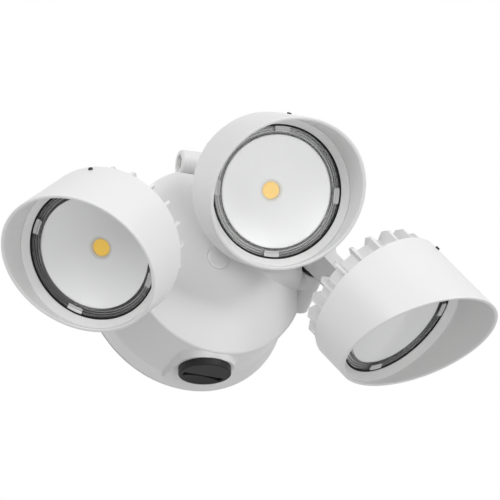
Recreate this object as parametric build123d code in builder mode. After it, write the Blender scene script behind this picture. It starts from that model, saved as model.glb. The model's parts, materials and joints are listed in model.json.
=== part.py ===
from build123d import *
import os
from math import sqrt

# Three-head wall floodlight. Origin on the wall plane, at the canopy's axis.
# The wall is the plane y = 0 and the light looks along -Y, with +Z up. Millimetres.

# Clearances
running_fit = 0.08
face_clearance = 0.05
washer_clearance = 0.24
screw_tip_room = 1.0

# Canopy, the round cast housing that covers the wall box
rim_radius = 72.0
rim_edge = 1.5
flare_width = 4.4
flare_end = 8.5
drum_draft = 3.4
drum_depth = 49.5
drum_edge_fillet = 1.5
dome_height = 4.0
canopy_wall = 2.8
dome_post_radius = 12.0
dome_post_end = 12.0
wall_gasket_thickness = 2.0
wall_gasket_inset = 1.0

# Crossbar to the wall box
box_screw_spacing = 88.9
box_slot_length = 12.0
box_slot_width = 4.6
bracket_end = 11.55
bracket_width = 20.0
bracket_thickness = 1.6
bracket_collar_radius = 6.0
bracket_collar_height = 5.0
ground_screw_offset = 24.0

# Centre screw and the plug over it
centre_screw_radius = 2.5
centre_screw_start = 1.0
centre_head_radius = 5.0
centre_head_height = 3.0
centre_head_recess = 7.0
screw_slot = 1.2
plug_radius = 7.4
plug_depth = 3.6
plug_proud = 2.2
plug_lip = 1.5

# Arm seats at twelve, three and nine o'clock
arm_depth = 46.0
seat_recess = 5.7
seat_depth = 10.0
seat_floor = 3.0
seat_boss_radius = 9.5
boss_radius = 12.0
boss_root_radius = 10.0
boss_root = 24.0
boss_root_depth = 42.0
pocket_room = 2.5

# Knuckle
stem_radius = 4.5
stem_proud = 6.5
wire_bore_radius = 2.6
lock_nut_flats = 13.0
lock_nut_room = 0.6
lock_nut_height = 4.0
swivel_gasket_thickness = 1.0
swivel_gasket_radius = 9.4
foot_radius = 8.4
foot_step = 0.1
barrel_radius = 8.7
barrel_rise = 0.25
barrel_overhang = 22.0
barrel_edge = 1.0
tilt_gasket_thickness = 2.5
tilt_bolt_radius = 3.0
tilt_bolt_inset = 2.0
tilt_nut_flats = 10.0
tilt_nut_height = 5.0
nut_pocket_depth = 7.5
nut_pocket_clearance = 0.1
bolt_head_radius = 5.0
bolt_head_height = 5.5
bolt_head_room = 0.5
bolt_socket_flats = 5.0
bolt_recess = 7.0

# Lamp head, measured back from the front edge of its housing
lens_seat_radius = 43.2
housing_wall = 4.1
lens_ledge_width = 4.7
lens_front = 0.8
lens_thickness = 2.2
lens_chamfer = 0.6
lens_gasket_thickness = 2.0
board_seat = 15.5
plate_thickness = 6.5
hub_radius = 38.0
hub_height = 15.0
fin_count = 20
fin_start = 5.0
fin_thickness = 2.0
fin_inner = 36.0
fin_inset = 0.8
fin_height = 17.0
fin_corner = 4.0
groove_place = 15.0
groove_depth = 1.0

# Tilt lug: the lens centre lies to the side of the stem, ahead of the bolt and below it
lug_width = 17.0
head_side = 23.5
head_drop = 8.5
neck_length = 33.5
neck_upper = 8.0
neck_lower = 5.0
neck_root = 13.0
neck_flare = 9.0

# Light engine
board_radius = 14.0
board_thickness = 1.3
chip_radius = 5.5
chip_thickness = 0.9
holder_radius = 9.5
holder_bore = 5.9
holder_thickness = 1.6
reflector_margin = 2.5
reflector_throat = 7.4
reflector_foot = 1.6
reflector_lip = 0.3
reflector_wall = 1.5
reflector_sag = 1.6
clip_count = 4
clip_start = 3.0
clip_width = 10.0
clip_length = 3.6
clip_room = 0.4
bezel_rise = 4.5
bezel_lip = 0.7

# Hood, a sleeve cut off at a slant
hood_clearance = 0.4
hood_wall = 2.3
hood_overlap = 0.2
hood_middle = 23.7
hood_swing = 19.0
hood_edge = 0.8
hood_screw_radius = 1.5
hood_screw_proud = 1.2
groove_room = 0.15

# Driver in the canopy
driver_length = 68.0
driver_depth = 24.0
driver_height = 28.0
driver_front = 34.0
driver_gap = 2.0
driver_corner = 2.0
driver_ear = 10.0
driver_ear_thickness = 3.0
driver_post_radius = 4.0
driver_screw_radius = 1.7
driver_hole_depth = 10.0

# Photocell under the canopy
photocell_depth = 31.6
pad_proud = 0.1
pad_half = 18.4
pad_front = 47.5
pad_rear = 6.0
pad_corner = 13.5
pad_draft = 18.0
pad_root = 7.0
sensor_seat_depth = 9.7
sensor_boss_margin = 2.0
sensor_radius = 6.0
sensor_proud = 0.8
sensor_eye_fillet = 2.0
sensor_body_radius = 8.0
sensor_body_height = 9.0
sensor_flange_thickness = 3.0
sensor_screw_radius = 1.1
sensor_screw_margin = 1.8
sensor_hole_depth = 5.8
cover_inset = 1.4
cover_thickness = 5.0
cover_edge = 1.0
cover_spigot_length = 5.0
cover_spigot_wall = 2.76
cover_eye_clearance = 0.16
cover_eye_depth = 1.2
recess_start = 1.0
recess_side = 3.0
recess_margin = 2.2
recess_depth = 2.6
window_place = 4.6
window_length = 7.0
window_width = 2.6

# Arm poses in the photograph: clock place, swivel, tilt and hood turn, in degrees
arm_poses = {
    "top": (90.0, -6.6, 117.9, 83.5),
    "right": (0.0, -120.0, -65.4, -30.2),
    "left": (180.0, -54.2, 49.6, 30.4),
}

# Canopy sizes that follow from the ones above
rear_face = -wall_gasket_thickness
drum_rear_radius = rim_radius - flare_width
drum_front_radius = drum_rear_radius - drum_draft
dome_apex = drum_depth + dome_height
bracket_length = box_screw_spacing + 2 * bracket_end
centre_head_seat = dome_apex - centre_head_recess
plug_seat = dome_apex - plug_depth
plug_apex = dome_apex + plug_proud
driver_centre = -(dome_post_radius + driver_gap + driver_height / 2)

# Arm sizes that follow, measured outwards from the canopy's axis and along the tilt bolt
seat_radius = drum_front_radius - seat_recess
seat_inner = seat_radius - seat_depth
stem_end = seat_inner - stem_proud
lock_nut_corner = lock_nut_flats / sqrt(3)
foot_base = seat_radius + swivel_gasket_thickness + face_clearance
tilt_height = foot_base + barrel_rise + barrel_radius
barrel_nut_end = -barrel_overhang
barrel_face = foot_radius + foot_step
pocket_radius = barrel_overhang + pocket_room
tilt_gasket_face = barrel_face + tilt_gasket_thickness
lug_start = tilt_gasket_face + face_clearance - head_side
lug_end = lug_start + lug_width
bolt_seat = head_side + lug_end - bolt_recess

# Lamp head sizes that follow
housing_radius = lens_seat_radius + housing_wall
lens_ledge_radius = lens_seat_radius - lens_ledge_width
lens_rear = lens_front + lens_thickness
lens_ledge = lens_rear + lens_gasket_thickness
plate_rear = board_seat + plate_thickness
hub_rear = plate_rear + hub_height
fin_outer = housing_radius - fin_inset
fin_rear = plate_rear + fin_height
head_reach = fin_rear + neck_length
groove_height = -groove_place
groove_floor = housing_radius - groove_depth
groove_width = 2 * (hood_screw_radius + groove_room)
reflector_base = board_thickness + holder_thickness - board_seat
reflector_rim_radius = lens_ledge_radius - reflector_margin
reflector_lip_radius = reflector_rim_radius + reflector_lip
gasket_bore = reflector_lip_radius + reflector_lip
hood_bore = housing_radius + hood_clearance
hood_radius = hood_bore + hood_wall
hood_rear = plate_rear + hood_overlap
hood_slope = hood_swing / hood_radius

# Photocell sizes that follow, measured downwards from the canopy's axis
pad_height = drum_rear_radius + pad_proud
sensor_seat = pad_height - sensor_seat_depth
sensor_top = sensor_seat - sensor_body_height
sensor_tip = pad_height + sensor_proud
cover_hole_radius = sensor_radius + cover_eye_clearance + cover_spigot_wall + running_fit
cover_radius = pad_half - cover_inset
cover_base = pad_height + face_clearance
cover_face = cover_base + cover_thickness
recess_half = cover_radius - recess_side
sensor_screw_offset = cover_hole_radius + sensor_screw_margin
sensor_head_radius = 2 * sensor_screw_radius
sensor_flange_radius = sensor_screw_offset + sensor_head_radius
sensor_boss_radius = sensor_flange_radius + sensor_boss_margin


def seat_plane(clock):
    """Plane across the canopy's axis at an arm's clock place, its normal pointing outwards."""
    outward = Vector(1, 0, 0).rotate(Axis.Y, -clock)
    return Plane(origin=(0, -arm_depth, 0), x_dir=outward.cross(Vector(0, -1, 0)), z_dir=outward)


seat_planes = {name: seat_plane(pose[0]) for name, pose in arm_poses.items()}
pad_plane = Plane(origin=(0, -photocell_depth, 0), x_dir=(1, 0, 0), z_dir=(0, 0, -1))


# Space inside the canopy, with the floors of the three arm pockets left standing
with BuildPart() as cavity:
    with BuildSketch(Plane.XY):
        with BuildLine():
            Polyline(
                (0, canopy_wall - dome_apex),
                (0, 0),
                (drum_rear_radius - canopy_wall, 0),
                (drum_rear_radius - canopy_wall, -flare_end),
                (drum_front_radius - canopy_wall, canopy_wall - drum_depth),
            )
            TangentArc(
                (0, canopy_wall - dome_apex),
                (drum_front_radius - canopy_wall, canopy_wall - drum_depth),
                tangent=(1, 0),
                tangent_from_first=True,
            )
        make_face()
    revolve(axis=Axis.Y)
    for plane in seat_planes.values():
        with BuildSketch(plane.offset(seat_radius - seat_floor)):
            Circle(pocket_radius + canopy_wall)
        extrude(amount=rim_radius, mode=Mode.SUBTRACT)

# Canopy: a revolved shell with a photocell pad, three arm pockets and inner posts
with BuildPart() as canopy:
    with BuildSketch(Plane.XY) as outer_profile:
        with BuildLine():
            Polyline(
                (0, -dome_apex),
                (0, rear_face),
                (rim_radius, rear_face),
                (rim_radius, rear_face - rim_edge),
            )
            Line((rim_radius, rear_face - rim_edge), (drum_rear_radius, -flare_end))
            Line((drum_rear_radius, -flare_end), (drum_front_radius, -drum_depth))
            TangentArc(
                (0, -dome_apex),
                (drum_front_radius, -drum_depth),
                tangent=(1, 0),
                tangent_from_first=True,
            )
        make_face()
        front_corner = outer_profile.vertices().sort_by_distance((drum_front_radius, -drum_depth, 0))[0]
        fillet(front_corner, radius=drum_edge_fillet)
    revolve(axis=Axis.Y)
    with BuildSketch(pad_plane.offset(pad_height)) as pad_outline:
        with Locations((0, (pad_front + pad_rear) / 2 - photocell_depth)):
            Rectangle(2 * pad_half, pad_front - pad_rear)
        fillet(pad_outline.vertices().group_by(Axis.Y)[-1], radius=pad_corner)
    extrude(amount=-pad_root, taper=-pad_draft)
    for plane in seat_planes.values():
        with BuildSketch(plane.offset(seat_radius)):
            Circle(pocket_radius)
        extrude(amount=rim_radius, mode=Mode.SUBTRACT)
        with BuildSketch(plane.offset(seat_radius)):
            Circle(boss_radius)
        with BuildSketch(plane.offset(boss_root)):
            with Locations((0, arm_depth - boss_root_depth)):
                Circle(boss_root_radius)
        loft()
    add(cavity.part, mode=Mode.SUBTRACT)
    for plane in seat_planes.values():
        with BuildSketch(plane.offset(seat_inner)):
            Circle(seat_boss_radius)
        extrude(amount=seat_radius - seat_inner)
        with BuildSketch(plane.offset(seat_inner)):
            Circle(stem_radius + running_fit)
        extrude(amount=seat_radius - seat_inner, mode=Mode.SUBTRACT)
        with BuildSketch(plane.offset(seat_inner)):
            Circle(lock_nut_corner + lock_nut_room)
        extrude(amount=stem_end - seat_inner, mode=Mode.SUBTRACT)
    with BuildSketch(pad_plane.offset(sensor_seat)):
        Circle(sensor_boss_radius)
    extrude(amount=pad_height - sensor_seat)
    with BuildSketch(pad_plane.offset(sensor_seat)):
        Circle(cover_hole_radius)
    extrude(amount=pad_height - sensor_seat, mode=Mode.SUBTRACT)
    with BuildSketch(pad_plane.offset(sensor_seat)):
        with GridLocations(2 * sensor_screw_offset, 0, 2, 1):
            Circle(sensor_screw_radius)
    extrude(amount=sensor_hole_depth, mode=Mode.SUBTRACT)
    with BuildSketch(Plane.XZ.offset(dome_post_end)):
        Circle(dome_post_radius)
    extrude(amount=dome_apex - canopy_wall - dome_post_end)
    with BuildSketch(Plane.XZ.offset(driver_front)):
        with Locations((0, driver_centre)):
            with GridLocations(driver_length + driver_ear, 0, 2, 1):
                Circle(driver_post_radius)
    extrude(until=Until.NEXT)
    with BuildSketch(Plane.XZ.offset(driver_front)):
        with Locations((0, driver_centre)):
            with GridLocations(driver_length + driver_ear, 0, 2, 1):
                Circle(driver_screw_radius)
    extrude(amount=driver_hole_depth, mode=Mode.SUBTRACT)
    with BuildSketch(Plane.XZ):
        Circle(centre_screw_radius + running_fit)
    extrude(amount=dome_apex, mode=Mode.SUBTRACT)
    with BuildSketch(Plane.XZ.offset(centre_head_seat)):
        Circle(centre_head_radius + running_fit)
    extrude(amount=dome_apex - centre_head_seat, mode=Mode.SUBTRACT)
    with BuildSketch(Plane.XZ.offset(plug_seat)):
        Circle(plug_radius + running_fit)
    extrude(amount=dome_apex - plug_seat, mode=Mode.SUBTRACT)

# Foam ring between the canopy's rim and the wall
with BuildPart() as wall_gasket:
    with BuildSketch(Plane.XZ):
        Circle(rim_radius - wall_gasket_inset)
        Circle(drum_rear_radius - canopy_wall, mode=Mode.SUBTRACT)
    extrude(amount=wall_gasket_thickness)

# Steel crossbar on the wall box, with slots for the box screws and a threaded collar
with BuildPart() as mounting_bracket:
    with BuildSketch(Plane.XZ):
        SlotOverall(bracket_length, bracket_width)
        with GridLocations(box_screw_spacing, 0, 2, 1):
            SlotOverall(box_slot_length, box_slot_width, mode=Mode.SUBTRACT)
        with Locations((ground_screw_offset, 0)):
            Circle(centre_screw_radius, mode=Mode.SUBTRACT)
    extrude(amount=bracket_thickness)
    with BuildSketch(Plane.XZ):
        Circle(bracket_collar_radius)
    extrude(amount=bracket_thickness + bracket_collar_height)
    with BuildSketch(Plane.XZ):
        Circle(centre_screw_radius)
    extrude(amount=bracket_thickness + bracket_collar_height, mode=Mode.SUBTRACT)

# Earth screw on the crossbar
with BuildPart() as ground_screw:
    with BuildSketch(Plane.XZ):
        with Locations((ground_screw_offset, 0)):
            Circle(centre_screw_radius)
    extrude(amount=bracket_thickness)
    with BuildSketch(Plane.XZ.offset(bracket_thickness)):
        with Locations((ground_screw_offset, 0)):
            RegularPolygon(centre_head_radius, 6)
    extrude(amount=centre_head_height)

# Screw that pulls the canopy on to the crossbar
with BuildPart() as canopy_screw:
    with BuildSketch(Plane.XZ.offset(centre_screw_start)):
        Circle(centre_screw_radius)
    extrude(amount=centre_head_seat - centre_screw_start)
    with BuildSketch(Plane.XZ.offset(centre_head_seat)):
        Circle(centre_head_radius)
    extrude(amount=centre_head_height)
    with BuildSketch(Plane.XZ.offset(centre_head_seat + centre_head_height)):
        Rectangle(2 * centre_head_radius, screw_slot)
    extrude(amount=-screw_slot, mode=Mode.SUBTRACT)

# Domed plug over the centre screw
with BuildPart() as canopy_plug:
    with BuildSketch(Plane.XY):
        with BuildLine():
            Polyline(
                (0, -plug_apex),
                (0, -plug_seat),
                (plug_radius, -plug_seat),
                (plug_radius, -dome_apex - plug_lip),
            )
            TangentArc(
                (0, -plug_apex),
                (plug_radius, -dome_apex - plug_lip),
                tangent=(1, 0),
                tangent_from_first=True,
            )
        make_face()
    revolve(axis=Axis.Y)

# Driver case with an ear at each end
with BuildPart() as led_driver:
    with BuildSketch(Plane.XZ.offset(driver_front - driver_depth)):
        with Locations((0, driver_centre)):
            RectangleRounded(driver_length, driver_height, driver_corner)
    extrude(amount=driver_depth)
    with BuildSketch(Plane.XZ.offset(driver_front - driver_ear_thickness)):
        with Locations((0, driver_centre)):
            SlotOverall(driver_length + 2 * driver_ear, driver_ear)
            with GridLocations(driver_length + driver_ear, 0, 2, 1):
                Circle(driver_screw_radius, mode=Mode.SUBTRACT)
    extrude(amount=driver_ear_thickness)

# Two screws through the driver's ears
with BuildPart() as driver_screws:
    with BuildSketch(Plane.XZ.offset(driver_front - driver_ear_thickness)):
        with Locations((0, driver_centre)):
            with GridLocations(driver_length + driver_ear, 0, 2, 1):
                Circle(driver_screw_radius)
    extrude(amount=driver_ear_thickness + driver_hole_depth - screw_tip_room)
    with BuildSketch(Plane.XZ.offset(driver_front - driver_ear_thickness)):
        with Locations((0, driver_centre)):
            with GridLocations(driver_length + driver_ear, 0, 2, 1):
                Circle(2 * driver_screw_radius)
    extrude(amount=-1.5 * driver_screw_radius)

# Light sensor: a flanged body inside the canopy with its eye in the cover's bore
with BuildPart() as photocell_sensor:
    with BuildSketch(pad_plane.offset(sensor_seat)):
        Circle(sensor_flange_radius)
        with GridLocations(2 * sensor_screw_offset, 0, 2, 1):
            Circle(sensor_screw_radius, mode=Mode.SUBTRACT)
    extrude(amount=-sensor_flange_thickness)
    with BuildSketch(pad_plane.offset(sensor_top)):
        Circle(sensor_body_radius)
    extrude(amount=sensor_seat - sensor_top)
    with BuildSketch(pad_plane.offset(sensor_seat)):
        Circle(sensor_radius)
    extrude(amount=sensor_tip - sensor_seat)
    fillet(photocell_sensor.faces().sort_by(Axis.Z)[0].edges(), radius=sensor_eye_fillet)

# Two small screws that hold the sensor's flange
with BuildPart() as photocell_screws:
    with BuildSketch(pad_plane.offset(sensor_seat - sensor_flange_thickness)):
        with GridLocations(2 * sensor_screw_offset, 0, 2, 1):
            Circle(sensor_screw_radius)
    extrude(amount=sensor_flange_thickness + sensor_hole_depth - screw_tip_room)
    with BuildSketch(pad_plane.offset(sensor_seat - sensor_flange_thickness)):
        with GridLocations(2 * sensor_screw_offset, 0, 2, 1):
            Circle(sensor_head_radius)
    extrude(amount=-sensor_head_radius)

# Turning cover of the photocell: a knob with a finger ridge and a half-moon window
with BuildPart() as photocell_cover:
    with BuildSketch(pad_plane.offset(cover_base)):
        Circle(cover_radius)
    extrude(amount=cover_thickness)
    fillet(photocell_cover.faces().sort_by(Axis.Z)[0].edges(), radius=cover_edge)
    with BuildSketch(pad_plane.offset(cover_face)):
        with BuildLine():
            Line((-recess_half, -recess_start), (recess_half, -recess_start))
            ThreePointArc(
                (recess_half, -recess_start),
                (0, recess_margin - cover_radius),
                (-recess_half, -recess_start),
            )
        make_face()
    extrude(amount=-recess_depth, mode=Mode.SUBTRACT)
    with BuildSketch(pad_plane.offset(cover_base)):
        Circle(cover_hole_radius - running_fit)
    extrude(amount=-cover_spigot_length)
    with BuildSketch(pad_plane.offset(cover_base + cover_eye_depth)):
        Circle(sensor_radius + cover_eye_clearance)
    extrude(amount=-cover_spigot_length - cover_eye_depth, mode=Mode.SUBTRACT)
    with BuildSketch(pad_plane.offset(cover_base)):
        with Locations((0, -window_place)):
            Rectangle(window_length, window_width)
    extrude(amount=cover_thickness, mode=Mode.SUBTRACT)

# Rubber washer under each knuckle, drawn with z along the arm's outward line
with BuildPart() as swivel_gasket:
    with BuildSketch(Plane.XY.offset(seat_radius)):
        Circle(swivel_gasket_radius)
        Circle(stem_radius + washer_clearance, mode=Mode.SUBTRACT)
    extrude(amount=swivel_gasket_thickness)

# Knuckle: threaded stem, round foot and a cross barrel with a pocket for the nut
with BuildPart() as knuckle:
    with BuildSketch(Plane.YZ.offset(barrel_nut_end)):
        with Locations((0, tilt_height)):
            Circle(barrel_radius)
    extrude(amount=barrel_face - barrel_nut_end)
    chamfer(knuckle.edges().filter_by(GeomType.CIRCLE), length=barrel_edge)
    with BuildSketch(Plane.XY.offset(foot_base)):
        Circle(foot_radius)
    extrude(amount=tilt_height - foot_base)
    with BuildSketch(Plane.XY.offset(stem_end)):
        Circle(stem_radius)
    extrude(amount=foot_base - stem_end)
    with BuildSketch(Plane.XY.offset(stem_end)):
        Circle(wire_bore_radius)
    extrude(amount=foot_base - stem_end, mode=Mode.SUBTRACT)
    with BuildSketch(Plane.YZ.offset(barrel_nut_end)):
        with Locations((0, tilt_height)):
            RegularPolygon(tilt_nut_flats / 2 + nut_pocket_clearance, 6, major_radius=False)
    extrude(amount=nut_pocket_depth, mode=Mode.SUBTRACT)
    with BuildSketch(Plane.YZ.offset(barrel_nut_end)):
        with Locations((0, tilt_height)):
            Circle(tilt_bolt_radius + running_fit)
    extrude(amount=barrel_face - barrel_nut_end, mode=Mode.SUBTRACT)

# Lock nut on the stem, inside the canopy
with BuildPart() as lock_nut:
    with BuildSketch(Plane.XY.offset(seat_inner - face_clearance)):
        RegularPolygon(lock_nut_flats / 2, 6, major_radius=False)
        Circle(stem_radius, mode=Mode.SUBTRACT)
    extrude(amount=-lock_nut_height)

# Rubber washer between the knuckle and the lamp head's lug
with BuildPart() as tilt_gasket:
    with BuildSketch(Plane.YZ.offset(barrel_face)):
        with Locations((0, tilt_height)):
            Circle(barrel_radius)
            Circle(tilt_bolt_radius + washer_clearance, mode=Mode.SUBTRACT)
    extrude(amount=tilt_gasket_thickness)

# Tilt bolt with a socket head in the lug
with BuildPart() as tilt_bolt:
    with BuildSketch(Plane.YZ.offset(barrel_nut_end + tilt_bolt_inset)):
        with Locations((0, tilt_height)):
            Circle(tilt_bolt_radius)
    extrude(amount=bolt_seat + face_clearance - barrel_nut_end - tilt_bolt_inset)
    with BuildSketch(Plane.YZ.offset(bolt_seat + face_clearance)):
        with Locations((0, tilt_height)):
            Circle(bolt_head_radius)
    extrude(amount=bolt_head_height)
    with BuildSketch(Plane.YZ.offset(bolt_seat + bolt_head_height + face_clearance)):
        with Locations((0, tilt_height)):
            RegularPolygon(bolt_socket_flats / 2, 6, major_radius=False)
    extrude(amount=-bolt_head_height / 2, mode=Mode.SUBTRACT)

# Hex nut in the knuckle's pocket
with BuildPart() as tilt_nut:
    with BuildSketch(Plane.YZ.offset(barrel_nut_end + nut_pocket_depth)):
        with Locations((0, tilt_height)):
            RegularPolygon(tilt_nut_flats / 2, 6, major_radius=False)
            Circle(tilt_bolt_radius, mode=Mode.SUBTRACT)
    extrude(amount=-tilt_nut_height)

# Heat sink: cup for the light engine, radial fins and the tilt lug, with z out of the lens
with BuildPart() as heat_sink:
    with BuildSketch(Plane.XY.offset(-plate_rear)):
        with PolarLocations((fin_inner + fin_outer) / 2, fin_count, fin_start):
            Rectangle(fin_outer - fin_inner, fin_thickness)
    extrude(amount=plate_rear - fin_rear)
    with BuildSketch(Plane.XZ):
        with BuildLine():
            Polyline(
                (fin_outer - fin_corner, -fin_rear),
                (fin_outer, fin_corner - fin_rear),
                (housing_radius, fin_corner - fin_rear),
                (housing_radius, -fin_rear),
                close=True,
            )
        make_face()
    revolve(axis=Axis.Z, mode=Mode.SUBTRACT)
    with BuildSketch(Plane.XZ):
        with BuildLine():
            Polyline(
                (0, -board_seat),
                (lens_ledge_radius, -board_seat),
                (lens_ledge_radius, -lens_ledge),
                (lens_seat_radius, -lens_ledge),
                (lens_seat_radius, 0),
                (housing_radius, 0),
                (housing_radius, groove_height + groove_width / 2),
                (groove_floor, groove_height + groove_width / 2),
                (groove_floor, groove_height - groove_width / 2),
                (housing_radius, groove_height - groove_width / 2),
                (housing_radius, -plate_rear),
                (hub_radius, -plate_rear),
                (hub_radius, -hub_rear),
                (0, -hub_rear),
                close=True,
            )
        make_face()
    revolve(axis=Axis.Z)
    with BuildSketch(Plane.YZ.offset(lug_start)):
        with Locations((head_drop, -head_reach)):
            Circle(barrel_radius)
        with BuildLine():
            Polyline(
                (head_drop - neck_lower, -head_reach),
                (head_drop + neck_upper, -head_reach),
                (head_drop + neck_upper, -plate_rear),
                (head_drop - neck_root, -plate_rear),
                (head_drop - neck_root, -fin_rear),
                (head_drop - neck_lower, -fin_rear - neck_flare),
                close=True,
            )
        make_face()
    extrude(amount=lug_width)
    with BuildSketch(Plane.YZ.offset(lug_start)):
        with Locations((head_drop, -head_reach)):
            Circle(tilt_bolt_radius + face_clearance)
    extrude(amount=lug_width, mode=Mode.SUBTRACT)
    with BuildSketch(Plane.YZ.offset(bolt_seat - head_side)):
        with Locations((head_drop, -head_reach)):
            Circle(bolt_head_radius + bolt_head_room)
    extrude(amount=lug_end - bolt_seat + head_side, mode=Mode.SUBTRACT)

# Metal-core board under the light chip
with BuildPart() as led_board:
    with BuildSketch(Plane.XY.offset(-board_seat)):
        Circle(board_radius)
    extrude(amount=board_thickness)

# Chip-on-board emitter with its yellow phosphor
with BuildPart() as led_chip:
    with BuildSketch(Plane.XY.offset(board_thickness - board_seat)):
        Circle(chip_radius)
    extrude(amount=chip_thickness)

# Holder ring that presses the chip's board down
with BuildPart() as led_holder:
    with BuildSketch(Plane.XY.offset(board_thickness - board_seat)):
        Circle(holder_radius)
        Circle(holder_bore, mode=Mode.SUBTRACT)
    extrude(amount=holder_thickness)

# Shallow white bowl from the holder out to the lens
with BuildPart() as reflector:
    with BuildSketch(Plane.XZ):
        with BuildLine():
            bowl = SagittaArc(
                (reflector_throat, reflector_base),
                (reflector_rim_radius, -lens_rear),
                reflector_sag,
            )
            Polyline(
                bowl @ 1,
                (reflector_lip_radius, -lens_rear),
                (reflector_lip_radius, -lens_rear - reflector_wall),
            )
            SagittaArc(
                (reflector_lip_radius, -lens_rear - reflector_wall),
                (reflector_throat + reflector_foot, reflector_base),
                -reflector_sag,
            )
            Line((reflector_throat + reflector_foot, reflector_base), bowl @ 0)
        make_face()
    revolve(axis=Axis.Z)

# Black ring under the lens flange
with BuildPart() as lens_gasket:
    with BuildSketch(Plane.XY.offset(-lens_ledge)):
        Circle(lens_seat_radius)
        Circle(gasket_bore, mode=Mode.SUBTRACT)
    extrude(amount=lens_ledge - lens_rear)

# Clear lens disc
with BuildPart() as lens:
    with BuildSketch(Plane.XY.offset(-lens_rear)):
        Circle(lens_seat_radius - running_fit)
    extrude(amount=lens_rear - lens_front)
    chamfer(lens.faces().sort_by(Axis.Z)[-1].edges(), length=lens_chamfer)

# Four tabs that hold the lens in the housing
with BuildPart() as lens_clips:
    with BuildSketch(Plane.XY.offset(-lens_front)):
        with PolarLocations(lens_seat_radius - clip_room - clip_length / 2, clip_count, clip_start):
            Rectangle(clip_length, clip_width)
    extrude(amount=lens_front)

# Conical ring on the front of the housing, between the lens and the hood
with BuildPart() as lens_bezel:
    with BuildSketch(Plane.XZ):
        with BuildLine():
            Polyline(
                (lens_seat_radius, 0),
                (housing_radius, 0),
                (housing_radius, bezel_rise),
                (housing_radius - bezel_lip, bezel_rise),
                close=True,
            )
        make_face()
    revolve(axis=Axis.Z)

# Hood: a sleeve round the housing with a slanted mouth and a screw hole, its long side along +x
with BuildPart() as hood:
    with BuildSketch(Plane.XY.offset(-hood_rear)):
        Circle(hood_radius)
        Circle(hood_bore, mode=Mode.SUBTRACT)
    extrude(amount=hood_rear + hood_middle + 2 * hood_swing)
    mouth = Plane(origin=(0, 0, hood_middle), x_dir=(0, 1, 0), z_dir=(-hood_slope, 0, 1))
    split(bisect_by=mouth, keep=Keep.BOTTOM)
    fillet(hood.faces().sort_by(Axis.Z)[-1].edges(), radius=hood_edge)
    with BuildSketch(Plane.YZ.offset(groove_floor)):
        with Locations((0, groove_height)):
            Circle(hood_screw_radius)
    extrude(amount=2 * hood_wall + groove_depth, mode=Mode.SUBTRACT)

# Black screw through the hood's long side, its tip in the housing's groove
with BuildPart() as hood_screws:
    with BuildSketch(Plane.YZ.offset(groove_floor + face_clearance)):
        with Locations((0, groove_height)):
            Circle(hood_screw_radius)
    extrude(amount=hood_radius + hood_screw_proud - groove_floor)

# Pieces drawn where they stand
fixed_pieces = {
    "canopy": canopy,
    "wall_gasket": wall_gasket,
    "mounting_bracket": mounting_bracket,
    "ground_screw": ground_screw,
    "canopy_screw": canopy_screw,
    "canopy_plug": canopy_plug,
    "led_driver": led_driver,
    "driver_screws": driver_screws,
    "photocell_sensor": photocell_sensor,
    "photocell_screws": photocell_screws,
    "photocell_cover": photocell_cover,
}
arm_pieces = {
    "swivel_gasket": swivel_gasket,
    "knuckle": knuckle,
    "lock_nut": lock_nut,
    "tilt_gasket": tilt_gasket,
    "tilt_bolt": tilt_bolt,
    "tilt_nut": tilt_nut,
}
head_pieces = {
    "heat_sink": heat_sink,
    "led_board": led_board,
    "led_chip": led_chip,
    "led_holder": led_holder,
    "reflector": reflector,
    "lens_gasket": lens_gasket,
    "lens": lens,
    "lens_clips": lens_clips,
    "lens_bezel": lens_bezel,
}
hood_pieces = {
    "hood": hood,
    "hood_screws": hood_screws,
}


os.makedirs("parts", exist_ok=True)


def write_piece(piece, node):
    """Label one finished piece and write it as its own file."""
    piece.label = node
    export_step(piece, f"parts/{node}.step")


for node, builder in fixed_pieces.items():
    write_piece(builder.part, node)

# Each arm is the same set of pieces, turned to its clock place, swivel, tilt and hood turn
for arm, (clock, swivel, tilt, hood_turn) in arm_poses.items():
    arm_place = seat_planes[arm].location * Location((0, 0, 0), (0, 0, swivel))
    tilt_place = arm_place * Location((head_side, 0, tilt_height), (tilt, 0, 0))
    head_place = tilt_place * Location((0, -head_drop, head_reach))
    hood_place = head_place * Location((0, 0, 0), (0, 0, hood_turn))
    placed_sets = ((arm_place, arm_pieces), (head_place, head_pieces), (hood_place, hood_pieces))
    for place, pieces in placed_sets:
        for node, builder in pieces.items():
            write_piece(builder.part.moved(place), f"{node}_{arm}")
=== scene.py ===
import json

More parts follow.
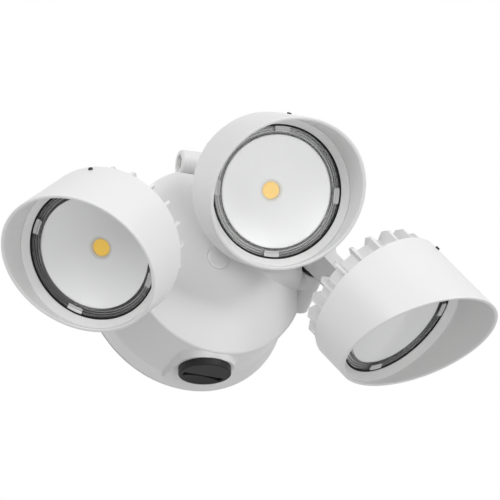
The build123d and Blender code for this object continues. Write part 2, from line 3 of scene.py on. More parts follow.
import bmesh
import bpy
import numpy as np
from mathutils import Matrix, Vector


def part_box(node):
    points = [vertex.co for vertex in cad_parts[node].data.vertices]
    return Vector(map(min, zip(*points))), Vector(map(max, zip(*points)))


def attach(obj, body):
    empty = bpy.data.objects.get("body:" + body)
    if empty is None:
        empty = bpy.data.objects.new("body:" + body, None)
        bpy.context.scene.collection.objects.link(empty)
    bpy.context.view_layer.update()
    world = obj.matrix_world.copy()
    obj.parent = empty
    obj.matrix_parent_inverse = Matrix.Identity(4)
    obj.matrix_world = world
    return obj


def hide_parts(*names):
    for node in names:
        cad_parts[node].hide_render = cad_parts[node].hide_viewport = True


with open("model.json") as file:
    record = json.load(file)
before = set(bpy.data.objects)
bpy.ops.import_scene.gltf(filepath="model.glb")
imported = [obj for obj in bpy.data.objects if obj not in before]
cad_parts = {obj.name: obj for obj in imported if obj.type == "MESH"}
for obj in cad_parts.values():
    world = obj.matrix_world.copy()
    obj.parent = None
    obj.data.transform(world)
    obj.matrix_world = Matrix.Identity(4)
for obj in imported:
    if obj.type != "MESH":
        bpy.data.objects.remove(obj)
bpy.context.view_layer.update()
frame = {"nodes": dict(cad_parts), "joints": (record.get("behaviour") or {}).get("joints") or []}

# Canopy: the round housing on the wall, die-cast in aluminium and powder coated satin white.
# The coat has a fine orange-peel skin and is a touch glossier where it ran thicker.
coat_dark, coat_light = (0.83, 0.83, 0.83), (0.86, 0.86, 0.86)
bump_strength = 0.5
edge_samples = 6


def node_group(name, inputs, outputs):
    """An empty shader node group with named float inputs (name, default) and named outputs (name, kind)."""
    group = bpy.data.node_groups.new(name, "ShaderNodeTree")
    for label, default in inputs:
        socket = group.interface.new_socket(label, in_out="INPUT", socket_type="NodeSocketFloat")
        socket.default_value = default
    for label, kind in outputs:
        group.interface.new_socket(label, in_out="OUTPUT", socket_type=kind)
    start = group.nodes.new("NodeGroupInput")
    end = group.nodes.new("NodeGroupOutput")
    return group, start, end


def skin_group():
    """Moulded or sprayed skin: small bumps as Height and broad slow clouds as Tone, both from 0 to 1."""
    group, start, end = node_group(
        "sprayed_skin",
        (("Bump Scale", 900.0), ("Cloud Scale", 22.0)),
        (("Height", "NodeSocketFloat"), ("Tone", "NodeSocketFloat")),
    )
    place = group.nodes.new("ShaderNodeTexCoord")
    for source, target, detail in (("Bump Scale", "Height", 3.0), ("Cloud Scale", "Tone", 2.0)):
        noise = group.nodes.new("ShaderNodeTexNoise")
        noise.inputs["Detail"].default_value = detail
        group.links.new(place.outputs["Object"], noise.inputs["Vector"])
        group.links.new(start.outputs[source], noise.inputs["Scale"])
        group.links.new(noise.outputs["Fac"], end.inputs[target])
    return group


sprayed_skin = skin_group()


def skinned_material(name, dark, light, rough, bump_scale, bump_depth, edge=0.0, **constants):
    """Principled surface whose colour and roughness drift between two values with the skin's clouds,
    and whose normal follows the skin's bumps, eased over an edge of the given width where a casting has
    one. Constants go straight to the shader's own sockets."""
    material = bpy.data.materials.new(name)
    material.use_nodes = True
    tree = material.node_tree
    shader = tree.nodes["Principled BSDF"]
    skin = tree.nodes.new("ShaderNodeGroup")
    skin.node_tree = sprayed_skin
    skin.inputs["Bump Scale"].default_value = bump_scale
    colour = tree.nodes.new("ShaderNodeMix")
    colour.data_type = "RGBA"
    colour.inputs["A"].default_value = (*dark, 1.0)
    colour.inputs["B"].default_value = (*light, 1.0)
    gloss = tree.nodes.new("ShaderNodeMapRange")
    gloss.inputs["To Min"].default_value = rough[0]
    gloss.inputs["To Max"].default_value = rough[1]
    bump = tree.nodes.new("ShaderNodeBump")
    bump.inputs["Strength"].default_value = bump_strength
    bump.inputs["Distance"].default_value = bump_depth
    if edge:
        eased = tree.nodes.new("ShaderNodeBevel")
        eased.samples = edge_samples
        eased.inputs["Radius"].default_value = edge
        tree.links.new(eased.outputs["Normal"], bump.inputs["Normal"])
    tree.links.new(skin.outputs["Tone"], colour.inputs["Factor"])
    tree.links.new(skin.outputs["Tone"], gloss.inputs["Value"])
    tree.links.new(skin.outputs["Height"], bump.inputs["Height"])
    tree.links.new(colour.outputs["Result"], shader.inputs["Base Color"])
    tree.links.new(gloss.outputs["Result"], shader.inputs["Roughness"])
    tree.links.new(bump.outputs["Normal"], shader.inputs["Normal"])
    for socket, value in constants.items():
        shader.inputs[socket.replace("_", " ")].default_value = value
    return material


def dress(node, material):
    """Gives a carried-over node its finish."""
    for slot in frame["nodes"][node].material_slots:
        slot.material = material


white_coat = skinned_material(
    "white_powder_coat", coat_dark, coat_light, rough=(0.36, 0.46),
    bump_scale=1100.0, bump_depth=0.00006, edge=0.0004,
)
dress("canopy", white_coat)

# Wall fixing: zinc-plated pressed crossbar with its green earth screw, the centre screw that pulls the
# canopy on, and the black foam ring between rim and wall.
zinc_plate = skinned_material(
    "zinc_plate", (0.42, 0.42, 0.40), (0.60, 0.60, 0.58), rough=(0.28, 0.42),
    bump_scale=400.0, bump_depth=0.00003, Metallic=1.0,
)
green_plate = skinned_material(
    "green_earth_screw", (0.02, 0.16, 0.05), (0.04, 0.24, 0.08), rough=(0.25, 0.4),
    bump_scale=500.0, bump_depth=0.00003, Metallic=0.6,
)
foam_skin = skinned_material(
    "black_foam", (0.02, 0.02, 0.022), (0.04, 0.04, 0.042), rough=(0.85, 0.95),
    bump_scale=1600.0, bump_depth=0.0004,
)
dress("mounting_bracket", zinc_plate)
dress("canopy_screw", zinc_plate)
dress("ground_screw", green_plate)
dress("wall_gasket", foam_skin)

# Driver: the closed case of the current supply, moulded in black plastic. Zinc-plated screws hold it to
# posts inside the canopy.
driver_plastic = skinned_material(
    "driver_case_plastic", (0.025, 0.025, 0.028), (0.04, 0.04, 0.043), rough=(0.5, 0.62),
    bump_scale=700.0, bump_depth=0.0001,
)
dress("led_driver", driver_plastic)
dress("driver_screws", zinc_plate)

# Plug: a white plastic cap over the centre screw, moulded with a slightly domed face and a soft edge, and
# pressed into the middle of the canopy's dome.
white_plastic = skinned_material(
    "white_moulded_plastic", (0.77, 0.77, 0.77), (0.81, 0.81, 0.81), rough=(0.34, 0.42),
    bump_scale=500.0, bump_depth=0.00003,
)
mm = 0.001
straightest_cosine = 0.9999
weld_distance, sliver_length = 2e-7, 1e-7


def rounded(corners, radii, steps=7):
    """Outline through corners with each corner eased: a quadratic curve that leaves the two sides at
    radius / tan(half the corner's angle) from it. A radius of 0 keeps the corner. The outline is closed."""
    point = np.asarray(corners, float)
    reach = np.asarray(radii, float)[:, None]
    sides = [np.roll(point, shift, 0) - point for shift in (1, -1)]
    units = [side / np.linalg.norm(side, axis=1, keepdims=True) for side in sides]
    cosine = np.sum(units[0] * units[1], axis=1, keepdims=True)
    cosine = np.clip(cosine, -straightest_cosine, straightest_cosine)
    cut = reach / np.tan(np.arccos(cosine) / 2)
    start, end = (point + unit * cut for unit in units)
    t = np.linspace(0.0, 1.0, steps)[None, :, None]
    curve = (1 - t) ** 2 * start[:, None] + 2 * t * (1 - t) * point[:, None] + t**2 * end[:, None]
    return curve.reshape(-1, 2)


def quads(rows, columns, wrap_rows=False, wrap_columns=True):
    """Corner numbers of the four-sided faces between the points of a grid, row by row."""
    row = np.arange(rows if wrap_rows else rows - 1)[:, None]
    column = np.arange(columns if wrap_columns else columns - 1)[None, :]
    next_row = (row + 1) % rows
    next_column = (column + 1) % columns
    corners = (row * columns + column, row * columns + next_column,
               next_row * columns + next_column, next_row * columns + column)
    return np.stack(np.broadcast_arrays(*corners), -1).reshape(-1, 4)


def spun(profile, steps=192):
    """Grid of a profile of radius and height carried round the z axis: (r cos a, r sin a, z)."""
    angle = np.linspace(0.0, 2 * np.pi, steps, endpoint=False)
    radius, height = profile[:, :1], profile[:, 1:]
    grid = np.stack((radius * np.cos(angle), radius * np.sin(angle), height + 0 * angle), -1)
    return grid.reshape(-1, 3), quads(len(profile), steps, wrap_rows=True)


def placed(part, pose):
    """A part drawn in millimetres moved to its pose, a 4 by 4 array in metres."""
    points, faces = part
    return points * mm @ pose[:3, :3].T + pose[:3, 3], faces


def piece(name, part, body, material, crease=40.0):
    """One finished object: doubles merged, normals outwards, smooth except along creases."""
    points, faces = part
    mesh = bpy.data.meshes.new(name)
    mesh.from_pydata(points.tolist(), [], faces.tolist())
    shell = bmesh.new()
    shell.from_mesh(mesh)
    bmesh.ops.remove_doubles(shell, verts=shell.verts, dist=weld_distance)
    bmesh.ops.dissolve_degenerate(shell, edges=shell.edges, dist=sliver_length)
    bmesh.ops.recalc_face_normals(shell, faces=shell.faces)
    shell.to_mesh(mesh)
    shell.free()
    mesh.shade_smooth()
    mesh.set_sharp_from_angle(angle=np.radians(crease))
    mesh.materials.append(material)
    thing = bpy.data.objects.new(name, mesh)
    bpy.context.scene.collection.objects.link(thing)
    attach(thing, body)
    return thing


plug_radius = 7.38
plug_seat, plug_shoulder, plug_crown = 49.9, 54.5, 55.65
plug_profile = rounded(
    ((0.0, plug_crown), (6.7, 55.3), (plug_radius, plug_shoulder),
     (plug_radius, plug_seat), (0.0, plug_seat)),
    (0.0, 0.7, 0.5, 0.0, 0.0),
)
facing_out = np.eye(4)
facing_out[:3, :3] = np.array(((1, 0, 0), (0, 0, -1), (0, 1, 0)), float)
plug = piece("plug_cap", placed(spun(plug_profile), facing_out), "base", white_plastic)
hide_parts("canopy_plug")

# Photocell: a dark sensor eye held by screws in the canopy, behind a knob moulded in black plastic that
# turns to shade it. The floor of the knob's finger hollow ramps up to the rim at the back.
knob_plastic = skinned_material(
    "black_knob_plastic", (0.01, 0.01, 0.011), (0.018, 0.018, 0.02), rough=(0.5, 0.62),
    bump_scale=1400.0, bump_depth=0.00012, Specular_IOR_Level=0.35,
)
sensor_plastic = skinned_material(
    "sensor_eye", (0.03, 0.012, 0.01), (0.05, 0.02, 0.016), rough=(0.08, 0.14),
    bump_scale=300.0, bump_depth=0.00001,
)
dress("photocell_cover", knob_plastic)
dress("photocell_sensor", sensor_plastic)
dress("photocell_screws", zinc_plate)
joints = {joint["name"]: joint for joint in frame["joints"]}
hollow_reach, hollow_middle, hollow_depth = 13.95, 0.8, 2.58
ramp_front = 6.3
ramp_share, ramp_power = 0.98, 0.7


def hollow_ramp(rows=16, columns=41):
    """Wedge on the hollow's flat floor, over a share across and a share from front to back. Its top lies
    share * depth * (1 - d / reach)^power in from the knob's face, with d the distance from the hollow's
    middle, so it reaches the face at the rim."""
    back = np.linspace(0.0, 1.0, rows)
    along = (ramp_front + (hollow_middle + hollow_reach - ramp_front) * back)[:, None]
    half_width = np.sqrt(np.maximum(hollow_reach**2 - (along - hollow_middle) ** 2, 0.0))
    across = half_width * np.concatenate(([-1.0], np.linspace(-1.0, 1.0, columns), [1.0]))
    raised = np.concatenate(([0.0], np.ones(columns), [0.0]))
    distance = np.minimum(np.hypot(across, along - hollow_middle) / hollow_reach, 1.0)
    top = hollow_depth - raised * hollow_depth * (1 - ramp_share * (1 - distance) ** ramp_power)
    upper = np.stack((across, along + 0 * across, top), -1)
    lower = np.stack((across, along + 0 * across, hollow_depth + 0 * across), -1)[::-1]
    grid = np.concatenate((upper, lower))
    return grid.reshape(-1, 3), quads(len(grid), columns + 2, wrap_rows=True, wrap_columns=False)


knob_face = np.eye(4)
knob_face[:2, 3] = joints["photocell_turn"]["pos_m"][:2]
knob_face[2, 3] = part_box("photocell_cover")[0][2]
piece("knob_ramp", placed(hollow_ramp(), knob_face), "photocell_knob", knob_plastic)

# Arms: a coated knuckle on a black rubber washer, its lock nut inside the canopy, and the bolt, nut and
# washer of the tilt joint.
arms = ("top", "right", "left")
black_rubber = skinned_material(
    "black_rubber", (0.014, 0.014, 0.015), (0.024, 0.024, 0.025), rough=(0.55, 0.7),
    bump_scale=900.0, bump_depth=0.00008,
)
for arm in arms:
    dress(f"knuckle_{arm}", white_coat)
    dress(f"swivel_gasket_{arm}", black_rubber)
    dress(f"tilt_gasket_{arm}", black_rubber)
    for fastener in ("lock_nut", "tilt_bolt", "tilt_nut"):
        dress(f"{fastener}_{arm}", zinc_plate)

# Lamp heads: cups with radial fins behind them and a lug for the tilt bolt, cast in aluminium under the
# same white coat as the canopy. The pieces they carry are drawn about the middle of the lens.
for arm in arms:
    dress(f"heat_sink_{arm}", white_coat)


def head_pose(arm, turn=0.0):
    """Pose of a lamp head: origin at the lens centre, z out of the lens, x along the tilt bolt, then
    turned by an angle in degrees about z."""
    z = np.array(joints[f"hood_turn_{arm}"]["axis"])
    x = np.array(joints[f"tilt_{arm}"]["axis"])
    x -= z * (x @ z)
    x /= np.linalg.norm(x)
    y = np.cross(z, x)
    pose = np.eye(4)
    pose[:3, 0] = np.cos(np.radians(turn)) * x + np.sin(np.radians(turn)) * y
    pose[:3, 1] = np.cross(z, pose[:3, 0])
    pose[:3, 2] = z
    pose[:3, 3] = joints[f"hood_turn_{arm}"]["pos_m"]
    return pose


# Light engine: a metal-core board with the yellow phosphor disc on it, the pale plastic ring that holds
# the disc down, and round them a shallow white reflector bowl.
board_coat = skinned_material(
    "board_coat", (0.7, 0.7, 0.69), (0.75, 0.75, 0.74), rough=(0.4, 0.5),
    bump_scale=600.0, bump_depth=0.00003,
)
# The phosphor disc carries a faint painted glow: an emission that lights it although the LED is off.
phosphor = skinned_material(
    "yellow_phosphor_painted_glow", (0.78, 0.45, 0.025), (0.84, 0.5, 0.04), rough=(0.4, 0.5),
    bump_scale=2500.0, bump_depth=0.00003,
    Emission_Color=(1.0, 0.62, 0.02, 1.0), Emission_Strength=0.3,
)
holder_plastic = skinned_material(
    "holder_plastic", (0.72, 0.71, 0.66), (0.78, 0.77, 0.72), rough=(0.4, 0.5),
    bump_scale=700.0, bump_depth=0.00003,
)
bowl_coat = skinned_material(
    "bowl_white", (0.92, 0.92, 0.92), (0.95, 0.95, 0.95), rough=(0.36, 0.46),
    bump_scale=1500.0, bump_depth=0.00003,
)
board_face = -14.2
chip_profile = np.array((
    (0.0, -13.35), (3.0, -13.36), (4.8, -13.42), (5.3, -13.6), (5.45, board_face), (0.0, board_face),
))
holder_inner, holder_outer = 5.9, 9.5
holder_profile = rounded(
    ((holder_inner, board_face), (holder_outer, board_face), (holder_outer, -13.3),
     (7.3, -12.62), (6.3, -12.62), (holder_inner, -13.2)),
    (0.0, 0.0, 0.3, 0.2, 0.15, 0.2),
)
throat_radius, throat_height = 7.4, -12.6
bowl_radius, bowl_height = 36.0, -3.0
bowl_lip = 36.3
bowl_wall = 1.5
bowl_sag = 1.6
across_bowl = np.linspace(0.0, 1.0, 40)
bowl_run = throat_radius + (bowl_radius - throat_radius) * across_bowl
bowl_rise = throat_height + (bowl_height - throat_height) * across_bowl
bowl_sink = 4 * bowl_sag * across_bowl * (1 - across_bowl)
bowl_front = np.stack((bowl_run, bowl_rise - bowl_sink), -1)
bowl_back = np.stack((bowl_run + bowl_wall, bowl_rise - bowl_sink - bowl_wall * across_bowl), -1)[::-1]
bowl_profile = np.concatenate((
    bowl_front, [(bowl_lip, bowl_height)], bowl_back[bowl_back[:, 0] < bowl_lip],
))
chip_steps, holder_steps, bowl_steps = 96, 128, 256
for arm in arms:
    pose, head = head_pose(arm), f"head_{arm}"
    dress(f"led_board_{arm}", board_coat)
    chip_part = placed(spun(chip_profile, chip_steps), pose)
    chip = piece(f"phosphor_disc_{arm}", chip_part, head, phosphor)
    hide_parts(f"led_chip_{arm}")
    holder_part = placed(spun(holder_profile, holder_steps), pose)
    holder = piece(f"holder_ring_{arm}", holder_part, head, holder_plastic)
    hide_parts(f"led_holder_{arm}")
    bowl_part = placed(spun(bowl_profile, bowl_steps), pose)
    bowl = piece(f"reflector_bowl_{arm}", bowl_part, head, bowl_coat)
    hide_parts(f"reflector_{arm}")

# Lenses: clear moulded discs in a black rubber gasket that wraps their edge. Its floor has three ribs faced
# outwards, and white bands on their outward slopes, seen through the flange, are painted highlights that
# stand in for the flange's reflections. Four snap tabs hold the flange down.
rib_inner, rib_outer, rib_count = 37.5, 42.0, 3
rib_top, rib_foot = -3.2, -4.4
rib_edges = np.linspace(rib_outer, rib_inner, 2 * rib_count + 1)
rib_heights = np.where(np.arange(2 * rib_count + 1) % 2, rib_top, rib_foot)
rib_points = np.stack((rib_edges, rib_heights), -1)
seal_inner, seal_outer = 36.6, 43.15
seal_back, seal_step = -5.0, -3.1
seal_lip = rounded(
    ((seal_outer, seal_back), (seal_outer, -0.35), (42.6, -0.25), (rib_outer, -0.4), rib_points[0]),
    (0.0, 0.15, 0.2, 0.15, 0.0),
)
gasket_profile = np.concatenate((
    seal_lip, rib_points[1:], ((37.3, seal_step), (seal_inner, seal_step), (seal_inner, seal_back)),
))
# Thin white bands lifted just off each rib's outward slope: painted highlights in place of reflections in
# the flange.
band_lift, band_wall = 0.01, 0.05
band_start, band_end = 0.02, 0.9
rib_slope = rib_points[0] - rib_points[1]
band_normal = np.array((-rib_slope[1], rib_slope[0])) / np.linalg.norm(rib_slope)
band_ends = [rib_points[1:-1:2] + share * rib_slope for share in (band_start, band_end)]
band_profiles = np.stack((
    band_ends[0] + band_lift * band_normal,
    band_ends[1] + band_lift * band_normal,
    band_ends[1] + (band_lift + band_wall) * band_normal,
    band_ends[0] + (band_lift + band_wall) * band_normal,
), 1)
lens_radius = 41.95
lens_back, flange_front, lens_groove = -3.0, -0.86, -1.15
lens_profile = rounded(
    ((0.0, lens_back), (lens_radius, lens_back), (lens_radius, flange_front), (37.2, flange_front),
     (36.9, lens_groove), (36.3, lens_groove), (36.0, -0.9), (0.0, -0.85)),
    (0.0, 0.2, 0.35, 0.1, 0.1, 0.1, 0.1, 0.0),
)
tab_inner, tab_outer = 38.3, lens_radius
tab_foot, tab_shoulder, tab_crown = -0.8, -0.15, -0.05
tab_bevel = 0.8
tab_groove, groove_half_width = -0.6, 0.3
tab_half_turn = 7.2
tab_end_power = 10
tab_turns = (3.0, 93.0, 183.0, 273.0)


def lens_tab(turn, steps=40):
    """Arc-shaped tab: a rounded section of radius and height carried over an angle. The section keeps its
    size along the arc and closes to its middle at both ends by the power curve (1 - t^10)^(1/10)."""
    middle = (tab_inner + tab_outer) / 2
    section = rounded(
        ((tab_inner, tab_foot), (tab_outer, tab_foot), (tab_outer, tab_shoulder),
         (tab_outer - tab_bevel, tab_crown), (middle + groove_half_width, tab_groove),
         (middle - groove_half_width, tab_groove), (tab_inner + tab_bevel, tab_crown),
         (tab_inner, tab_shoulder)),
        (0.0, 0.0, 0.15, 0.2, 0.15, 0.15, 0.2, 0.15),
    )
    t = np.sin(np.linspace(-np.pi / 2, np.pi / 2, steps))
    size = np.maximum(1 - np.abs(t) ** tab_end_power, 0.0)[:, None] ** (1 / tab_end_power)
    angle = np.radians(turn + tab_half_turn * t)[:, None]
    radius = middle + (section[None, :, 0] - middle) * size
    height = tab_foot + (section[None, :, 1] - tab_foot) * size
    grid = np.stack((radius * np.cos(angle), radius * np.sin(angle), height), -1)
    return grid.reshape(-1, 3), quads(steps, len(section))


def joined(*parts):
    """Several sets of points and faces as one set."""
    starts = np.cumsum([0] + [len(points) for points, _ in parts[:-1]])
    points = np.concatenate([points for points, _ in parts])
    faces = np.concatenate([faces + start for (_, faces), start in zip(parts, starts)])
    return points, faces


def let_lamps_through(material):
    """Mixes a clear film in for rays from lamps and for scattered light, so that glass casts no shadow."""
    tree = material.node_tree
    rays = tree.nodes.new("ShaderNodeLightPath")
    either = tree.nodes.new("ShaderNodeMath")
    either.operation = "MAXIMUM"
    film = tree.nodes.new("ShaderNodeBsdfTransparent")
    mixed = tree.nodes.new("ShaderNodeMixShader")
    tree.links.new(rays.outputs["Is Shadow Ray"], either.inputs[0])
    tree.links.new(rays.outputs["Is Diffuse Ray"], either.inputs[1])
    tree.links.new(either.outputs["Value"], mixed.inputs["Fac"])
    tree.links.new(tree.nodes["Principled BSDF"].outputs["BSDF"], mixed.inputs[1])
    tree.links.new(film.outputs["BSDF"], mixed.inputs[2])
    tree.links.new(mixed.outputs["Shader"], tree.nodes["Material Output"].inputs["Surface"])


lens_clear = skinned_material(
    "clear_lens", (0.98, 0.985, 0.985), (0.99, 0.995, 0.995), rough=(0.02, 0.04),
    bump_scale=60.0, bump_depth=0.0, Transmission_Weight=1.0, IOR=1.49,
)
let_lamps_through(lens_clear)
gasket_rubber = skinned_material(
    "gasket_rubber", (0.004, 0.004, 0.004), (0.008, 0.008, 0.008), rough=(0.5, 0.6),
    bump_scale=900.0, bump_depth=0.00004, Specular_IOR_Level=0.2,
)
# White for the bands on the ribs' outward slopes, painted highlights that stand in for reflections in the
# clear flange.
painted_highlight_white = skinned_material(
    "painted_highlight_band", (0.74, 0.74, 0.74), (0.86, 0.86, 0.86), rough=(0.3, 0.4),
    bump_scale=500.0, bump_depth=0.00003,
)
tab_plastic = skinned_material(
    "tab_plastic", (0.5, 0.5, 0.5), (0.72, 0.72, 0.72), rough=(0.14, 0.22),
    bump_scale=600.0, bump_depth=0.00004,
)
lens_steps = 256
for arm in arms:
    pose, head = head_pose(arm), f"head_{arm}"
    gasket_part = placed(spun(gasket_profile, lens_steps), pose)
    gasket = piece(f"lens_seal_{arm}", gasket_part, head, gasket_rubber)
    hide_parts(f"lens_gasket_{arm}")
    bands = joined(*(spun(profile, lens_steps) for profile in band_profiles))
    piece(f"lens_seat_bands_{arm}", placed(bands, pose), head, painted_highlight_white)
    disc_part = placed(spun(lens_profile, lens_steps), pose)
    disc = piece(f"lens_disc_{arm}", disc_part, head, lens_clear, crease=60.0)
    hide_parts(f"lens_{arm}")
    tab_part = placed(joined(*map(lens_tab, tab_turns)), pose)
    tabs = piece(f"lens_tabs_{arm}", tab_part, head, tab_plastic)
    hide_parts(f"lens_clips_{arm}")

# Bezels: cast conical rings on the front of each housing, coated white, with a rounded lip that closes
# the gap to the hood. Their round edges are in the mesh, so this coat needs no easing of edges.
smooth_coat = skinned_material(
    "white_powder_coat_smooth", coat_dark, coat_light, rough=(0.34, 0.44),
    bump_scale=1100.0, bump_depth=0.00006,
)
bezel_inner, bezel_outer, bezel_lip = 43.25, 47.3, 47.65
bezel_seat = 0.02
bezel_profile = rounded(
    ((bezel_inner, bezel_seat), (bezel_outer, bezel_seat), (bezel_outer, 3.6),
     (bezel_lip, 3.9), (bezel_lip, 4.3), (47.1, 4.48), (46.6, 4.4)),
    (0.0, 0.0, 0.0, 0.1, 0.2, 0.2, 0.4),
)
bezel_steps = 320
for arm in arms:
    bezel_part = placed(spun(bezel_profile, bezel_steps), head_pose(arm))
    bezel = piece(f"bezel_ring_{arm}", bezel_part, f"head_{arm}", smooth_coat)
    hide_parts(f"lens_bezel_{arm}")

# Hoods: short sleeves cut at a slant and coated like the castings. Each turns round its housing, and a
# black headless screw with a six-sided socket pins it there.
black_screw = skinned_material(
    "black_screw", (0.012, 0.012, 0.013), (0.02, 0.02, 0.021), rough=(0.3, 0.45),
    bump_scale=800.0, bump_depth=0.00004, Metallic=0.3,
)
hood_radius, hood_bore = 50.0, 47.7
hood_rear, hood_middle = -22.2, 23.45
hood_slope = 0.38
hood_lip = 0.9
hood_corner = 0.5
hood_turns = {"top": 83.5, "right": -30.2, "left": 30.4}


def hood_shell(steps=320, wall_rows=16, lip_rows=6):
    """Sleeve over an angle a and a walk along the wall, out along the outside, round the lip and back
    along the bore. A wall point lies a share of the way from the rear to the mouth, which is the slanted
    plane z = middle + slope * r cos a."""
    angle = np.linspace(0.0, 2 * np.pi, steps, endpoint=False)
    along = np.linspace(0.0, 1.0, wall_rows)
    bend = np.linspace(0.0, np.pi / 2, lip_rows)
    ones = np.ones_like
    radius = np.concatenate((
        [hood_radius - hood_corner],
        hood_radius * ones(along),
        hood_radius - hood_lip + hood_lip * np.cos(bend),
        hood_bore + hood_lip - hood_lip * np.sin(bend),
        hood_bore * ones(along),
        [hood_bore + hood_corner],
    ))[:, None]
    share = np.concatenate(([0.0], along, ones(bend), ones(bend), along[::-1], [0.0]))[:, None]
    straight = hood_corner + (-hood_lip - hood_corner) * along
    offset = np.concatenate((
        [0.0],
        straight,
        hood_lip * (np.sin(bend) - 1),
        hood_lip * (np.cos(bend) - 1),
        straight[::-1],
        [0.0],
    ))[:, None]
    mouth = hood_middle + hood_slope * radius * np.cos(angle)
    height = hood_rear + share * (mouth - hood_rear) + offset
    grid = np.stack((radius * np.cos(angle), radius * np.sin(angle), height), -1)
    return grid.reshape(-1, 3), quads(len(radius), steps, wrap_rows=True)


screw_tip, screw_top = 46.36, 51.2
screw_height = -15.0
screw_radius, screw_point, screw_rim = 1.48, 1.2, 1.25
screw_chamfer = 0.3
socket_half_width = 0.72
socket_mouth, socket_lead, socket_depth = 1.0, 0.12, 1.0


def grub_screw(steps=48):
    """Headless screw spun round z, whose top rows run into a six-sided socket: there the radius is the
    socket's half width over cos(b), with b the angle from the middle of the nearest flat."""
    angle = np.linspace(0.0, 2 * np.pi, steps, endpoint=False)
    flat = (angle + np.pi / 6) % (np.pi / 3) - np.pi / 6
    socket = socket_half_width / np.cos(flat)
    round_rows = np.array((
        (0.0, screw_tip),
        (screw_point, screw_tip),
        (screw_radius, screw_tip + screw_chamfer),
        (screw_radius, screw_top - screw_chamfer),
        (screw_rim, screw_top),
        (socket_mouth, screw_top),
    ))
    hex_rows = np.array((
        (1.0, screw_top - socket_lead),
        (1.0, screw_top - socket_depth),
        (0.0, screw_top - socket_depth),
    ))
    radius = np.concatenate((round_rows[:, :1] + 0 * angle, hex_rows[:, :1] * socket))
    height = np.concatenate((round_rows[:, 1:], hex_rows[:, 1:])) + 0 * angle
    grid = np.stack((radius * np.cos(angle), radius * np.sin(angle), height), -1)
    return grid.reshape(-1, 3), quads(len(radius), steps, wrap_rows=True)


def screw_pose(arm):
    """Pose with z out through the middle of the hood's long side, at its screw."""
    pose = head_pose(arm, hood_turns[arm])
    turned = pose.copy()
    turned[:3, 0], turned[:3, 2] = -pose[:3, 2], pose[:3, 0]
    turned[:3, 3] += pose[:3, 2] * screw_height * mm
    return turned


for arm in arms:
    visor = f"visor_{arm}"
    hood_part = placed(hood_shell(), head_pose(arm, hood_turns[arm]))
    hood = piece(f"hood_shell_{arm}", hood_part, visor, smooth_coat)
    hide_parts(f"hood_{arm}")
    screw_part = placed(grub_screw(), screw_pose(arm))
    screw = piece(f"hood_screw_{arm}", screw_part, visor, black_screw, crease=30.0)
    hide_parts(f"hood_screws_{arm}")

# Studio: a pale floor far below, an even white surround and three large soft lamps, one from the left,
# a stronger one from the upper right in front, and a weak one from low down that reaches under the hoods.
floor_height = -3.0
floor_half = 60.0
floor_mesh = bpy.data.meshes.new("studio_floor")
floor_mesh.from_pydata(
    [(x * floor_half, y * floor_half, floor_height) for x, y in ((-1, -1), (1, -1), (1, 1), (-1, 1))],
    [],
    [(0, 1, 2, 3)],
)
floor = bpy.data.objects.new("studio_floor", floor_mesh)
bpy.context.scene.collection.objects.link(floor)
pale_floor = skinned_material(
    "pale_floor", (0.84, 0.84, 0.84), (0.87, 0.87, 0.87), rough=(0.7, 0.8),
    bump_scale=30.0, bump_depth=0.0002,
)
floor_mesh.materials.append(pale_floor)


def seen_directly(tree):
    """Value that is 1 for what the camera sees, straight, mirrored or through glass, and 0 for light."""
    rays = tree.nodes.new("ShaderNodeLightPath")
    either = tree.nodes.new("ShaderNodeMath")
    either.operation = "MAXIMUM"
    any_of = tree.nodes.new("ShaderNodeMath")
    any_of.operation = "MAXIMUM"
    tree.links.new(rays.outputs["Is Camera Ray"], either.inputs[0])
    tree.links.new(rays.outputs["Is Glossy Ray"], either.inputs[1])
    tree.links.new(either.outputs["Value"], any_of.inputs[0])
    tree.links.new(rays.outputs["Is Transmission Ray"], any_of.inputs[1])
    return any_of.outputs["Value"]


floor_glow_share = 0.5
floor_tree = pale_floor.node_tree
floor_glow = floor_tree.nodes.new("ShaderNodeEmission")
floor_share = floor_tree.nodes.new("ShaderNodeMath")
floor_share.operation = "MULTIPLY"
floor_share.inputs[1].default_value = floor_glow_share
floor_mix = floor_tree.nodes.new("ShaderNodeMixShader")
floor_tree.links.new(seen_directly(floor_tree), floor_share.inputs[0])
floor_tree.links.new(floor_share.outputs["Value"], floor_mix.inputs["Fac"])
floor_tree.links.new(floor_tree.nodes["Principled BSDF"].outputs["BSDF"], floor_mix.inputs[1])
floor_tree.links.new(floor_glow.outputs["Emission"], floor_mix.inputs[2])
floor_tree.links.new(floor_mix.outputs["Shader"], floor_tree.nodes["Material Output"].inputs["Surface"])

surround_level, backdrop_level = 0.46, 1.0
plain_white = (1.0, 1.0, 1.0, 1.0)
world = bpy.data.worlds.new("white_surround")
bpy.context.scene.world = world
world.use_nodes = True
sky = world.node_tree
surround = sky.nodes["Background"]
surround.inputs["Color"].default_value = plain_white
surround.inputs["Strength"].default_value = surround_level
backdrop = sky.nodes.new("ShaderNodeBackground")
backdrop.inputs["Color"].default_value = plain_white
backdrop.inputs["Strength"].default_value = backdrop_level
choose = sky.nodes.new("ShaderNodeMixShader")
sky.links.new(seen_directly(sky), choose.inputs["Fac"])
sky.links.new(surround.outputs["Background"], choose.inputs[1])
sky.links.new(backdrop.outputs["Background"], choose.inputs[2])
sky.links.new(choose.outputs["Shader"], sky.nodes["World Output"].inputs["Surface"])


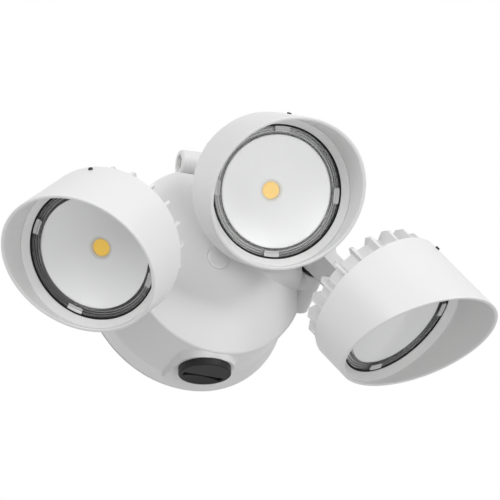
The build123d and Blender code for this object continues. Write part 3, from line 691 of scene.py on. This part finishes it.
def aim(thing, place, target, up):
    """Stands a camera or lamp at place, looking at target, with up as near as can be to its top. The pose
    is handed over turned round, because Blender reads the array column by column."""
    place, target, up = (np.asarray(v, float) for v in (place, target, up))
    back = place - target
    back /= np.linalg.norm(back)
    right = np.cross(up, back)
    right /= np.linalg.norm(right)
    pose = np.eye(4)
    pose[:3, 0] = right
    pose[:3, 1] = np.cross(back, right)
    pose[:3, 2] = back
    pose[:3, 3] = place
    thing.matrix_world = pose.T


lamp_width = 1.2
lamp_target, lamp_up = (0.0, -0.08, 0.0), (0.0, 1.0, 0.2)


def soft_lamp(name, place, watts):
    """A square area lamp that looks at the middle of the light."""
    lamp = bpy.data.lights.new(name, "AREA")
    lamp.size = lamp_width
    lamp.energy = watts
    stand = bpy.data.objects.new(name, lamp)
    bpy.context.scene.collection.objects.link(stand)
    aim(stand, place, lamp_target, lamp_up)


soft_lamp("left_lamp", place=(-1.8, -1.5, 0.5), watts=19.0)
soft_lamp("right_lamp", place=(1.2, -2.0, 1.1), watts=23.0)
soft_lamp("low_lamp", place=(0.4, -1.9, -1.4), watts=9.0)

# Camera: a long lens below and to the left of the light, as in the photograph. The middle of the wall
# face falls on origin_pixel of the square frame.
frame_pixels = 500.0
focal_pixels = 4255.3
origin_pixel = np.array((182.36, 289.27))
view_side, view_rise, view_roll = np.radians((25.43, 23.75, -0.85))
view_distance = 2.7829
forward = np.array((
    np.sin(view_side) * np.cos(view_rise),
    np.cos(view_side) * np.cos(view_rise),
    np.sin(view_rise),
))
level = np.array((np.cos(view_side), -np.sin(view_side), 0.0))
upright = np.cross(level, forward)
rightward = np.cos(view_roll) * level + np.sin(view_roll) * upright
upward = np.cos(view_roll) * upright - np.sin(view_roll) * level
across, down = (frame_pixels / 2 - origin_pixel) / focal_pixels
camera_data = bpy.data.cameras.new("photo_camera")
camera_data.lens = camera_data.sensor_width * focal_pixels / frame_pixels
camera = bpy.data.objects.new("photo_camera", camera_data)
bpy.context.scene.collection.objects.link(camera)
camera_place = -view_distance * forward
aim(camera, camera_place, camera_place + forward + across * rightward - down * upward, upward)
bpy.context.scene.camera = camera
bpy.context.scene.view_settings.view_transform = "Standard"
